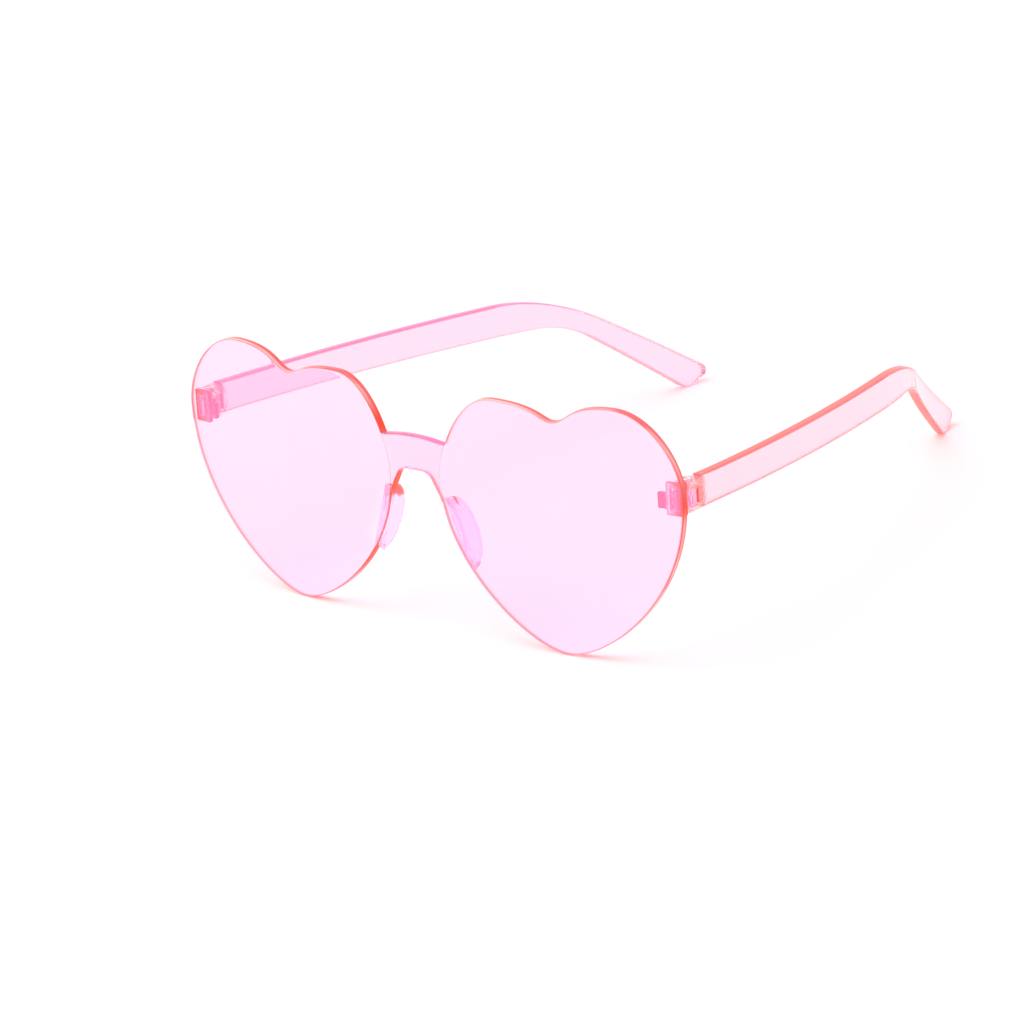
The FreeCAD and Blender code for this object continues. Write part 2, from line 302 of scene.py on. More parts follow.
        # Lamps shine through the sheet, and its edges colour the light that they let past.
        shade = add(
            "ShaderNodeMix", {"data_type": "RGBA", 6: linear(self.shadow)}, {0: rim, 7: edge}
        ).outputs[2]
        passed = add("ShaderNodeBsdfTransparent", None, {"Color": shade})
        path = add("ShaderNodeLightPath")
        whole = add(
            "ShaderNodeMixShader", None,
            {0: path.outputs["Is Shadow Ray"], 1: seen.outputs[0], 2: passed.outputs[0]},
        )
        add("ShaderNodeOutputMaterial", None, {"Surface": whole.outputs[0]})
        return made


@dataclass(frozen=True)
class TurnedSteel:
    """Bright turned steel: a pale metal with a rosy reflection of the plastic round it painted into its
    colour, finely mottled by the tool.
    """

    name: str = "turned_steel"
    colour: str = "#f2d9df"
    shade: str = "#dfbcc5"
    roughness: float = 0.42
    mottle_mm: float = 0.12

    def material(self) -> bpy.types.Material:
        """Build the node material, or give back the one that is built.

        Returns:
            The material.
        """
        if self.name in bpy.data.materials:
            return bpy.data.materials[self.name]
        made = blank_material(self.name)
        add = partial(add_node, made.node_tree)
        place = add("ShaderNodeTexCoord").outputs["Object"]
        scale = MM_PER_METRE / self.mottle_mm
        mottle = add("ShaderNodeTexNoise", {"Scale": scale, "Detail": 2.0}, {"Vector": place})
        # Both colours hold a painted rosy reflection of the plastic round the screw; the mottle between them
        # is the tool's.
        colour = add(
            "ShaderNodeMix", {"data_type": "RGBA", 6: linear(self.colour), 7: linear(self.shade)},
            {0: mottle.outputs["Fac"]},
        ).outputs[2]
        metal = add(
            "ShaderNodeBsdfPrincipled", {"Metallic": 1.0, "Roughness": self.roughness},
            {"Base Color": colour},
        )
        add("ShaderNodeOutputMaterial", None, {"Surface": metal.outputs[0]})
        return made


# Each sheet lists its tint, then its edge, hot and pale colours, which are painted glow and a painted pale
# highlight, then its deeper flow tint.
LENS_SHEET = DyedPolycarbonatePaintedGlow(
    "pink_lens_polycarbonate", "#fee0f5", "#f6666a", "#fa4a2e", "#ffd9d2", "#fedaf1", streak=0.9, guided=0.16,
    thin=0.5,
)
BRIDGE_SHEET = DyedPolycarbonatePaintedGlow(
    "pink_bridge_polycarbonate", "#ffd9ee", "#fd7cb8", "#fb5a3c", "#fdd9f0", "#ffd3e9", mirror=0.15
)
PAD_SHEET = DyedPolycarbonatePaintedGlow(
    "lilac_pad_polycarbonate", "#f9defb", "#f4b2f6", "#fb5d47", "#ffeafc", "#f6cdfb", roughness=0.05
)
HINGE_SHEET = DyedPolycarbonatePaintedGlow(
    "rose_hinge_polycarbonate", "#ffdef5", "#ff66a4", "#fb5238", "#ffe3f6", "#ffd0ee", rib_mm=1.745
)
# Both temples are one plastic: their edge glow is painted coral on the left and rose on the right, as light
# fell on each side.
LEFT_TEMPLE_SHEET = DyedPolycarbonatePaintedGlow(
    "temple_polycarbonate_painted_coral_glow", "#ffd9e8", "#f9716d", "#fb5f45", "#fdb4ae", "#ffd3e2", streak=0.1
)
RIGHT_TEMPLE_SHEET = DyedPolycarbonatePaintedGlow(
    "temple_polycarbonate_painted_rose_glow", "#ffdbec", "#ff7ab5", "#fb6f60", "#fdb9dc", "#ffd5e7"
)
SCREW_STEEL = TurnedSteel()


@dataclass
class Skin:
    """A closed skin: points in millimetres, the quads between them, and each mark's value at each point."""

    points: Array
    quads: Array
    marks: dict[Mark, Array] = field(default_factory=dict)

    def mirrored(self, side: Side) -> "Skin":
        """The same skin on a side: X takes the side's sign, and the right side's faces turn round."""
        quads = self.quads if side is Side.LEFT else self.quads[:, ::-1]
        return Skin(self.points * (side.value, 1.0, 1.0), quads, self.marks)

    def polygons(self) -> list[list[int]]:
        """Give the faces, with a quad that has lost a side at a seam or pole made a triangle.

        Returns:
            Lists of point numbers.
        """
        repeat = self.quads == np.roll(self.quads, -1, axis=1)
        count = repeat.sum(axis=1)
        pinched = self.quads[count == 1]
        corners = (repeat[count == 1].argmax(axis=1)[:, None] + np.arange(1, 4)) % 4
        return self.quads[count == 0].tolist() + np.take_along_axis(pinched, corners, 1).tolist()

    def object(self, name: str) -> bpy.types.Object:
        """Make the skin an object that stands on the table.

        Args:
            name: The piece's name.

        Returns:
            The object, at the origin, with the marks as attributes of its points.
        """
        mesh = bpy.data.meshes.new(name)
        mesh.from_pydata(STANCE.place(self.points).tolist(), [], self.polygons())
        for mark, values in self.marks.items():
            layer = mesh.attributes.new(mark.value, "FLOAT", "POINT")
            layer.data.foreach_set("value", values.astype(np.float32))
        mesh.polygons.foreach_set("use_smooth", np.ones(len(mesh.polygons), bool))
        mesh.update()
        made = bpy.data.objects.new(name, mesh)
        bpy.context.scene.collection.objects.link(made)
        return made


def sew(grid: Array, marks: dict[Mark, Array], ring: bool = False, weld_mm: float = 2.0e-4) -> Skin:
    """Join a grid of points into a closed skin whose faces point outwards.

    Columns always run round and meet. Points that share a place become one, which closes seams and poles.

    Args:
        grid: Points by row and column.
        marks: Values by row and column.
        ring: Whether the last row meets the first one, as round a bore.
        weld_mm: The distance within which points share a place.

    Returns:
        The skin.
    """
    rows, columns = grid.shape[:2]
    here = np.arange(rows if ring else rows - 1)[:, None] * columns
    there = (here + columns) % (rows * columns)
    column = np.arange(columns)[None, :]
    beside = (column + 1) % columns
    quads = np.stack([here + column, there + column, there + beside, here + beside], -1).reshape(-1, 4)
    points = grid.reshape(-1, 3)
    cells = np.round(points / weld_mm).astype(np.int64)
    _, first, same = np.unique(cells, axis=0, return_index=True, return_inverse=True)
    points, quads = points[first], same.reshape(-1)[quads]
    a, b, c, d = (points[quads[:, k]] for k in range(4))
    volume = np.sum(a * np.cross(b, c)) + np.sum(a * np.cross(c, d))
    quads = quads if volume > 0 else quads[:, ::-1]
    return Skin(points, quads, {mark: values.reshape(-1)[first] for mark, values in marks.items()})


@dataclass(frozen=True)
class PlateRows:
    """Rows of a plate's skin: from the spine of its face, over its rounded rim, to the spine behind.

    A row has the share of the way from the spine to the rim (reach), how many edge rounds it lies inside
    the outline (inset), and a depth of share times the thickness plus lead times the edge round.
    """

    face_shares: tuple[float, ...] = (0.0, 0.3, 0.6, 0.84, 0.97)
    wall_shares: tuple[float, ...] = (0.15, 0.33, 0.5, 0.67, 0.85)
    round_steps: int = 6
    core_share: float = 0.35
    core_full: float = 1.3
    core_fall: float = 3.0

    def table(self) -> dict[str, Array]:
        """Work out every row; the quarter round has inset one minus sine and depth one minus cosine.

        Returns:
            Arrays reach, inset, share, lead, rim and core, one value per row.
        """
        face = np.array(self.face_shares)
        wall = np.array(self.wall_shares)
        turn = np.linspace(0.0, math.pi / 2.0, self.round_steps + 1)
        flat, bent, none = np.ones_like(face), np.ones_like(turn), np.zeros_like(face)
        core = np.clip(self.core_full - self.core_fall * np.abs(wall - self.core_share), 0, 1)
        return {
            "reach": np.concatenate([face, bent, np.ones_like(wall), bent, face[::-1]]),
            "inset": np.concatenate([flat, 1 - np.sin(turn), 0 * wall, 1 - np.sin(turn[::-1]), flat]),
            "share": np.concatenate([none, 0 * bent, wall, bent, flat]),
            "lead": np.concatenate([none, 1 - np.cos(turn), 1 - 2 * wall, np.cos(turn[::-1]) - 1, none]),
            "rim": np.concatenate([none, np.sin(turn), np.ones_like(wall), np.sin(turn[::-1]), none]),
            "core": np.concatenate([none, 0 * bent, core, 0 * bent, none]),
        }


@dataclass
class Plate:
    """A plate before its bend: flat places, two parts of its depth, and how far each row is rim or core."""

    flat: Array
    share: Array
    lead: Array
    rim: Array
    core: Array

    @classmethod
    def of(cls, outline: Array, spine: Array, edge_round: Array | float) -> "Plate":
        """Spread a plate between its spine and its outline.

        A point is spine + reach x (outline + inset x edge round x inward - spine), where inward is the
        right-hand side of the outline's direction.

        Args:
            outline: The outline's points, clockwise.
            spine: The point that each outline point is tied to inside the face.
            edge_round: The rim's round, for all columns or one each.

        Returns:
            The plate.
        """
        rows = PlateRows().table()
        along = np.roll(outline, -1, axis=0) - np.roll(outline, 1, axis=0)
        along = along / np.linalg.norm(along, axis=1, keepdims=True)
        inward = np.stack([along[:, 1], -along[:, 0]], -1)
        rounds = np.broadcast_to(np.asarray(edge_round, float), outline.shape[:1])
        moved = outline + rows["inset"][:, None, None] * (inward * rounds[:, None])
        flat = spine + rows["reach"][:, None, None] * (moved - spine)
        wide = np.ones_like(rounds)
        return cls(
            flat, rows["share"][:, None], rows["lead"][:, None] * rounds,
            rows["rim"][:, None] * wide, rows["core"][:, None] * wide,
        )

    def wall(self, reach: float = 4.0) -> Array:
        """One on the rim's rows and zero on the faces, rising fast over the first of the rounds."""
        return np.minimum(self.rim * reach, 1.0)

    def vanish(self, rim: Array, share: float = 0.45) -> Array:
        """The share by which the rim vanishes where it doesn't glow."""
        return share * self.wall() * (1.0 - rim)

    def depth(self, thickness: Array | float) -> Array:
        """The depth of every point behind the face, for a thickness or one per point."""
        return self.share * thickness + self.lead


def window(values: Array, low: float, high: float, soft: float) -> Array:
    """A smooth window: one between low and high, and fading to zero over soft outside them.

    Args:
        values: Where to read the window.
        low: Where it starts to be one.
        high: Where it stops being one.
        soft: The width of each fade.

    Returns:
        Values from zero to one.
    """
    rise = np.clip((values - low) / soft + 1.0, 0.0, 1.0)
    fall = np.clip((high - values) / soft + 1.0, 0.0, 1.0)
    share = np.minimum(rise, fall)
    return share * share * (3.0 - 2.0 * share)


def softened(corners: Array, radius: float, steps: int = 5) -> Array:
    """Round the corners of a closed polygon with parabolas.

    A corner C between neighbours becomes (1-t)^2 A + 2t(1-t) C + t^2 B, where A and B lie one radius from C.

    Args:
        corners: The corners, in order.
        radius: The run of each side that a round takes.
        steps: Points on each round.

    Returns:
        The rounded outline.
    """
    before = np.roll(corners, 1, axis=0) - corners
    after = np.roll(corners, -1, axis=0) - corners
    start = corners + radius * before / np.linalg.norm(before, axis=1, keepdims=True)
    end = corners + radius * after / np.linalg.norm(after, axis=1, keepdims=True)
    t = np.linspace(0.0, 1.0, steps)[None, :, None]
    arcs = (1 - t) ** 2 * start[:, None] + 2 * t * (1 - t) * corners[:, None] + t ** 2 * end[:, None]
    return arcs.reshape(-1, 2)


def carved(base: bpy.types.Object, tools: list[tuple[bpy.types.Object, str]]) -> bpy.types.Object:
    """Join tool shapes to a piece or cut them out of it, and remove the tools.

    Args:
        base: The piece.
        tools: Tool objects, each with UNION or DIFFERENCE.

    Returns:
        The piece, with its new mesh.
    """
    for tool, operation in tools:
        step = base.modifiers.new(operation, "BOOLEAN")
        step.object = tool
        step.operation = operation
        step.solver = "EXACT"
    bpy.context.view_layer.update()
    graph = bpy.context.evaluated_depsgraph_get()
    mesh = bpy.data.meshes.new_from_object(base.evaluated_get(graph))
    base.modifiers.clear()
    old, base.data = base.data, mesh
    mesh.name = base.name
    bpy.data.meshes.remove(old)
    for tool, _ in tools:
        bpy.data.objects.remove(tool)
    return base


@dataclass(frozen=True)
class HeartOutline:
    """The heart in the lens's own flat, six smooth curves through stations with level or upright headings."""

    stations: tuple[tuple[float, float, float, float, float, float], ...] = (
        (37.2, 53.2, 1.0, 0.0, 2.6, 4.4),
        (53.4, 58.0, 1.0, 0.0, 11.8, 9.0),
        (70.2329, 40.0, 0.0, -1.0, 8.5, 24.0),
        (38.0, 0.0, -1.0, 0.0, 9.5, 10.2),
        (7.0, 35.2, 0.0, 1.0, 19.0, 8.0),
        (21.8, 56.2, 1.0, 0.0, 8.6, 11.6),
    )
    steps: int = 56
    wrap_deg: float = 4.6
    bend_reach: float = 8.0

    @property
    def bend_round(self) -> float:
        """The radius of the bridge's bend, which ends square to the lenses."""
        return self.bend_reach / math.sin(math.radians(self.wrap_deg))

    @property
    def outer_side(self) -> float:
        """The reach of the heart's outermost point."""
        return self.stations[2][0]

    def curve(self) -> Array:
        """Sample the outline clockwise from the cleft.

        Each curve is the cubic (1-t)^3 P0 + 3t(1-t)^2 P1 + 3t^2(1-t) P2 + t^3 P3, where P1 and P2 lie ahead
        of and behind their stations by the stations' pulls.

        Returns:
            Reach and height of each point.
        """
        table = np.array(self.stations)
        p0, heading, pull_in, pull_out = table[:, 0:2], table[:, 2:4], table[:, 4:5], table[:, 5:6]
        p1 = p0 + heading * pull_out
        p3 = np.roll(p0, -1, axis=0)
        p2 = p3 - np.roll(heading, -1, axis=0) * np.roll(pull_in, -1, axis=0)
        t = (np.arange(self.steps) / self.steps)[None, :, None]
        points = (1 - t) ** 3 * p0[:, None] + 3 * t * (1 - t) ** 2 * p1[:, None]
        points = points + 3 * t ** 2 * (1 - t) * p2[:, None] + t ** 3 * p3[:, None]
        return points.reshape(-1, 2)

    def inner_reach(self, height: Array | float) -> Array:
        """The reach of the heart's nose side at a height, read off the curves from the tip up to the lobe."""
        edge = self.curve()[3 * self.steps:5 * self.steps]
        return np.interp(height, edge[:, 1], edge[:, 0])

    def place(self, reach: Array, behind: Array, height: Array) -> Array:
        """Put points of the left lens into the front's frame.

        Past the bridge's bend the lens is a flat turned back by the wrap angle.

        Args:
            reach: Distance along the lens from the middle.
            behind: Depth behind the lens's face.
            height: Height above the tip.

        Returns:
            Points in the front's frame.
        """
        wrap = math.radians(self.wrap_deg)
        set_back = self.bend_round * (1.0 - math.cos(wrap))
        run = reach - self.bend_reach
        x = self.bend_reach + run * math.cos(wrap) - behind * math.sin(wrap)
        y = set_back + run * math.sin(wrap) + behind * math.cos(wrap)
        return np.stack(np.broadcast_arrays(x, y, height), -1)


HEART = HeartOutline()


@dataclass
class HeartLens:
    """One lens: a flat heart with broken edges, whose cut edge has a painted glow except where the bridge is
    bonded on.
    """

    side: Side
    thickness: float = 2.0
    edge_round: float = 0.4
    middle: Pair = (37.6, 33.0)
    bond: Pair = (31.5, 43.8)
    bond_fade: float = 0.5
    bond_reach: float = 13.0
    bond_flush: float = 0.93
    padded: Pair = (17.0, 29.0)
    padded_fade: float = 1.6
    padded_reach: float = 1.4
    padded_soft: float = 1.0
    padded_open: float = 1.0
    streak_front: float = 0.2
    upward_gain: float = 1.5
    upward_start: float = 0.3
    hot_spots: tuple[tuple[float, float, float], ...] = (
        (9.4, 46.3, 6.0), (70.0, 38.8, 3.2), (16.5, 13.0, 5.0), (7.5, 30.4, 1.6),
    )

    def skin(self) -> Skin:
        """Shape the plate: depth behind the face by row, and the painted glow strongest near the hot spots.

        Where the bridge is bonded on, the edge is nearly square, so that the two are flush. Along the nose
        pad, edge and back run on into the pad, and only the front of the edge still has its painted glow. On
        edges that face up, the painted pale highlight lies at the front.

        Returns:
            The lens's skin on its side.
        """
        outline = HEART.curve()
        bonded = window(outline[:, 1], *self.bond, self.bond_fade) * (outline[:, 0] < self.bond_reach)
        plate = Plate.of(outline, np.array(self.middle), self.edge_round * (1.0 - self.bond_flush * bonded))
        reach, height = plate.flat[..., 0], plate.flat[..., 1]
        grid = HEART.place(reach, plate.depth(self.thickness), height)
        spots = np.array(self.hot_spots)
        gap = (plate.flat[:, :, None, :] - spots[:, :2]) / spots[:, 2:3]
        hot = np.exp(-np.sum(gap ** 2, axis=-1)).max(axis=-1)
        nose_side = outline[:, 0] < HEART.stations[5][0]
        padded = window(outline[:, 1], *self.padded, self.padded_fade) * nose_side
        inside = np.linalg.norm(plate.flat - outline, axis=-1)
        opened = self.padded_open * padded * window(inside, -OPEN, self.padded_reach, self.padded_soft)
        along = np.gradient(outline, axis=0)
        level = along[:, 0] / np.linalg.norm(along, axis=1)
        upward = np.clip(self.upward_gain * level - self.upward_start, 0.0, 1.0)
        front = np.where(plate.share < self.streak_front, plate.rim, 0.0)
        core = plate.core + upward * (front - plate.core)
        marks = {
            Mark.RIM: plate.rim * (1.0 - bonded), Mark.CORE: core, Mark.HOT: hot,
            Mark.BOND: np.maximum(plate.wall() * bonded, opened * (plate.share > 0.0)),
        }
        return sew(grid, marks).mirrored(self.side)

    def build(self) -> bpy.types.Object:
        """Make and dress the lens.

        Returns:
            The lens, standing for its node.
        """
        piece = self.skin().object(f"{self.side.word}_heart_lens")
        piece.data.materials.append(LENS_SHEET.material())
        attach(piece, "front")
        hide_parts(f"{self.side.word}_lens")
        return piece


@dataclass
class NoseBridge:
    """The bridge: a bowed strip between the hearts, arched over the nose, with rounded edges."""

    thickness: float = 2.0
    crown_height: float = 45.0
    crown_round: float = 40.0
    arch_height: float = 37.0
    arch_width: float = 7.9
    arch_round: float = 3.0
    arch_flare_deg: float = 28.5
    edge_round: float = 0.4
    end_round: float = 0.03
    seam: float = 0.03
    spine_margin: float = 1.6
    crown_dim: float = 0.5
    crown_band: float = 2.0
    crown_middle: float = 1.0
    crown_fade: float = 5.0
    hot_below_arch: float = 1.4
    hot_fade: float = 1.0
    end_taper: float = 8.0
    search: Pair = (30.0, 50.0)
    samples: int = 2001
    columns: int = 64

    @property
    def arch_turn(self) -> float:
        """The angle of each of the arch's corner rounds, in radians."""
        return math.radians(90.0 - self.arch_flare_deg)

    @property
    def arch_flat(self) -> float:
        """Half the straight top of the arch, between its corner rounds."""
        return self.arch_width / 2.0 - self.arch_round * math.tan(self.arch_turn / 2.0)

    def crown(self, x: Array) -> Array:
        """The crown's height at X, on a circle about a point below."""
        return self.crown_height - self.crown_round + np.sqrt(self.crown_round ** 2 - x ** 2)

    def arch(self, x: Array) -> Array:
        """Work out the arch: straight, then on a corner circle, then down the flared side.

        Args:
            x: Distances from the middle.

        Returns:
            The arch's height at each of them.
        """
        over = np.maximum(np.abs(x) - self.arch_flat, 0.0)
        corner = self.arch_round * math.sin(self.arch_turn)
        round_over = np.minimum(over, corner)
        height = self.arch_height - self.arch_round + np.sqrt(self.arch_round ** 2 - round_over ** 2)
        return height - (over - round_over) * math.tan(self.arch_turn)

    def outline(self) -> tuple[Array, Array, Array, Array]:
        """Trace the strip clockwise: crown, nose side of the left heart, arch, nose side of the right heart.

        Returns:
            The outline, its spine half way between crown and arch, its edge rounds, and one for each point on
            a bonded end.
        """
        wrap = math.radians(HEART.wrap_deg)
        heights = np.linspace(*self.search, self.samples)
        ends = HEART.bend_reach + (HEART.inner_reach(heights) - HEART.bend_reach) * math.cos(wrap) - self.seam
        top = np.interp(0.0, (self.crown(ends) - heights)[::-1], heights[::-1])
        below = heights < HEART.stations[4][1]
        low = np.interp(0.0, (heights - self.arch(ends))[below], heights[below])
        top_x, low_x = np.interp([top, low], heights, ends)
        share = np.linspace(-1.0, 1.0, self.columns)
        crown = np.stack([share * top_x, self.crown(share * top_x)], -1)
        spread = np.linspace(0.0, low_x, self.samples)
        walked = np.cumsum(np.hypot(np.gradient(spread), np.gradient(self.arch(spread))))
        arch_x = -np.sign(share) * np.interp(np.abs(share) * walked[-1], walked - walked[0], spread)
        arch = np.stack([arch_x, self.arch(arch_x)], -1)
        rise = np.linspace(top, low, self.columns // 2 + 2)[1:-1]
        end = np.stack([np.interp(rise, heights, ends), rise], -1)
        outline = np.concatenate([crown, end, arch, (end * (-1.0, 1.0))[::-1]])
        limit = low_x - self.spine_margin
        middle = np.clip(outline[:, 0], -limit, limit)
        spine = np.stack([middle, (self.crown(middle) + self.arch(middle)) / 2.0], -1)
        long, short = np.zeros(self.columns), np.ones(len(end))
        taper = np.clip(self.end_taper * (1.0 - np.abs(share)), 0.0, 1.0)
        shy = np.maximum(taper * self.edge_round, self.end_round)
        rounds = np.concatenate([shy, short * self.end_round, shy, short * self.end_round])
        return outline, spine, rounds, np.concatenate([long, short, long, short])

    def build(self) -> bpy.types.Object:
        """Bow the strip: at X and a depth it lies at R - sqrt((R - depth)^2 - X^2), with R the bend's radius.

        Returns:
            The dressed bridge, standing for its node.
        """
        outline, spine, rounds, bonded = self.outline()
        ends = np.abs(outline[:, 0]).max()
        plate = Plate.of(outline, spine, rounds)
        depth = plate.depth(self.thickness)
        flat_x, height = plate.flat[..., 0], plate.flat[..., 1]
        x = flat_x * (1.0 - depth * math.sin(math.radians(HEART.wrap_deg)) / ends)
        bend = HEART.bend_round
        y = bend - np.sqrt((bend - depth) ** 2 - x ** 2)
        # Painted edge glow: dimmer over the right half of the crown, and hot below the arch.
        far_crown = window(height, self.arch_height + self.crown_band, OPEN, self.crown_band)
        far_crown = far_crown * window(-x, self.crown_middle, OPEN, self.crown_fade)
        rim = plate.rim * (1.0 - self.crown_dim * far_crown)
        marks = {
            Mark.RIM: rim * (1.0 - bonded),
            Mark.CORE: plate.core,
            Mark.HOT: window(-height, self.hot_below_arch - self.arch_height, OPEN, self.hot_fade),
            Mark.BOND: np.maximum(plate.wall() * bonded, plate.vanish(rim) * far_crown),
        }
        piece = sew(np.stack([x, y, height], -1), marks).object("bowed_nose_bridge")
        piece.data.materials.append(BRIDGE_SHEET.material())
        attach(piece, "front")
        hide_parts("nose_bridge")
        return piece


@dataclass
class NosePad:
    """One nose pad: a half oval fin bonded on edge behind the lens, along the heart's nose side."""

    side: Side
    height: float = 23.4
    length: float = 17.0
    depth: float = 5.2
    thickness: float = 2.2
    edge_inset: float = 0.6
    lean_deg: float = 18.0
    flare_deg: float = 4.0
    edge_round: float = 0.9
    lens_thickness: float = 2.0
    seat_gap: float = 0.01
    lead: float = 1.0
    spine_shares: Pair = (0.4, 0.55)
    blob: float = 3.2
    blob_reach: float = OPEN
    blob_fades: Pair = (0.7, 0.6)
    foot: float = 1.0
    foot_fade: float = 0.6
    foot_glow: float = 0.0
    rim_glow: float = 0.34
    hot_glow: float = 0.85
    rim_clear: float = 0.3
    steps: int = 72

    def build(self) -> bpy.types.Object:
        """Shape the fin: the oval is one cubic from its top root to its low root, then flared and leaned.

        The outline runs on past the roots into the lens, and what lies in the lens is pressed flat on the
        lens's back.

        Returns:
            The dressed pad, standing for its node.
        """
        t = np.linspace(0.0, 1.0, self.steps)[:, None]
        # A cubic whose arms are level bulges by three quarters of their length.
        half, out = self.length / 2.0, self.depth * 4.0 / 3.0
        ends = np.array([[0.0, half], [out, half], [out, -half], [0.0, -half]])
        oval = (1 - t) ** 3 * ends[0] + 3 * t * (1 - t) ** 2 * ends[1]
        oval = oval + 3 * t ** 2 * (1 - t) * ends[2] + t ** 3 * ends[3]
        root = np.linspace(-half, half, self.steps // 2)
        root = np.stack([np.full_like(root, -self.lead), root], -1)
        outline = np.concatenate([oval, root])
        spine = np.stack([0 * outline[:, 0] + self.depth, outline[:, 1]], -1) * self.spine_shares
        free = np.concatenate([np.ones(len(oval)), np.zeros(len(root))])
        plate = Plate.of(outline, spine, np.where(free > 0.5, self.edge_round, self.seat_gap))
        behind, high, wide = plate.flat[..., 0], plate.flat[..., 1], plate.depth(self.thickness)
        flare, lean = math.radians(self.flare_deg), math.radians(self.lean_deg)
        x = wide * math.cos(flare) + behind * math.sin(flare)
        y = behind * math.cos(flare) - wide * math.sin(flare)
        across = x * math.cos(lean) - high * math.sin(lean)
        up = x * math.sin(lean) + high * math.cos(lean)
        reach = HEART.inner_reach(self.height) + self.edge_inset + across
        deep = self.lens_thickness + np.maximum(y, self.seat_gap)
        grid = HEART.place(reach, deep, self.height + up)
        # Painted glow: on the free rim, hot in a blob at the top root and, by its own share, at the foot.
        rise_fade, depth_fade = self.blob_fades
        blob = window(high, half - self.blob, OPEN, rise_fade)
        blob = blob * window(behind, -OPEN, self.blob_reach, depth_fade)
        foot = self.foot_glow * window(-high, half - self.foot, OPEN, self.foot_fade)
        hot = np.maximum(blob, foot)
        rim = np.maximum(self.rim_glow * plate.rim, self.hot_glow * hot) * free
        bond = plate.vanish(rim, self.rim_clear)
        marks = {Mark.RIM: rim, Mark.CORE: plate.core, Mark.HOT: hot, Mark.BOND: bond}
        piece = sew(grid, marks).mirrored(self.side).object(f"{self.side.word}_pad_fin")
        piece.data.materials.append(PAD_SHEET.material())
        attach(piece, "front")
        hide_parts(f"{self.side.word}_nose_pad")
        return piece


@dataclass
class HingeSizes:
    """Sizes that both halves of a hinge and its screw share."""

    height: float = 39.55
    inset: float = 2.3
    barrel_radius: float = 2.0
    knuckle_height: float = 3.6
    knuckle_drop: float = 0.6
    fork_height: float = 6.9
    axial_gap: float = 0.1
    stop_gap: float = 0.3
    foot_thickness: float = 1.0
    lens_thickness: float = 2.0
    running_radius: float = 0.75
    thread_radius: float = 0.72
    sink_radius: float = 1.35
    sink: float = 0.5

    @property
    def knuckle_middle(self) -> float:
        """The height of the knuckle's middle."""
        return self.height - self.knuckle_drop

    @property
    def fork_top(self) -> float:
        """The height of the fork's top."""
        return self.height + self.fork_height / 2.0

    @property
    def seat(self) -> float:
        """The height of the seat that the screw's head is sunk to."""
        return self.fork_top - self.sink

    @property
    def pin_reach(self) -> float:
        """The pin's distance along the lens."""
        return HEART.outer_side - self.inset

    @property
    def pin_behind(self) -> float:
        """The pin's depth behind the lens's face: lens, foot, stop gap and barrel."""
        return self.lens_thickness + self.foot_thickness + self.stop_gap + self.barrel_radius

    @property
    def pin(self) -> Array:
        """A point of the pin's axis, at zero height."""
        return HEART.place(np.array(self.pin_reach), np.array(self.pin_behind), np.array(0.0))

    def rod(self, profile: Array, columns: int = 40, thread: Array | float = 0.0, pitch: float = 0.3) -> Skin:
        """Turn a profile about the pin: a point is the pin plus radius times (cos a, sin a), at its height.

        A thread lets the radius in by half of thread x (1 + cos(2 pi height / pitch - a)).

        Args:
            profile: Radius and height of each row, starting and ending on the axis.
            columns: Points round the pin.
            thread: The depth of a thread, for all rows or one each.
            pitch: The thread's rise in one turn.

        Returns:
            The turned skin.
        """
        angle = np.linspace(0.0, 2.0 * math.pi, columns, endpoint=False)
        cut = np.broadcast_to(thread, len(profile))[:, None]
        wave = 0.5 + 0.5 * np.cos(2.0 * math.pi * profile[:, 1:2] / pitch - angle)
        radius = profile[:, 0:1] - cut * wave
        x = self.pin[0] + radius * np.cos(angle)
        y = self.pin[1] + radius * np.sin(angle)
        z = np.broadcast_to(profile[:, 1:2], x.shape)
        flat = np.zeros_like(x)
        return sew(np.stack([x, y, z], -1), {mark: flat for mark in Mark})


HINGE = HingeSizes()


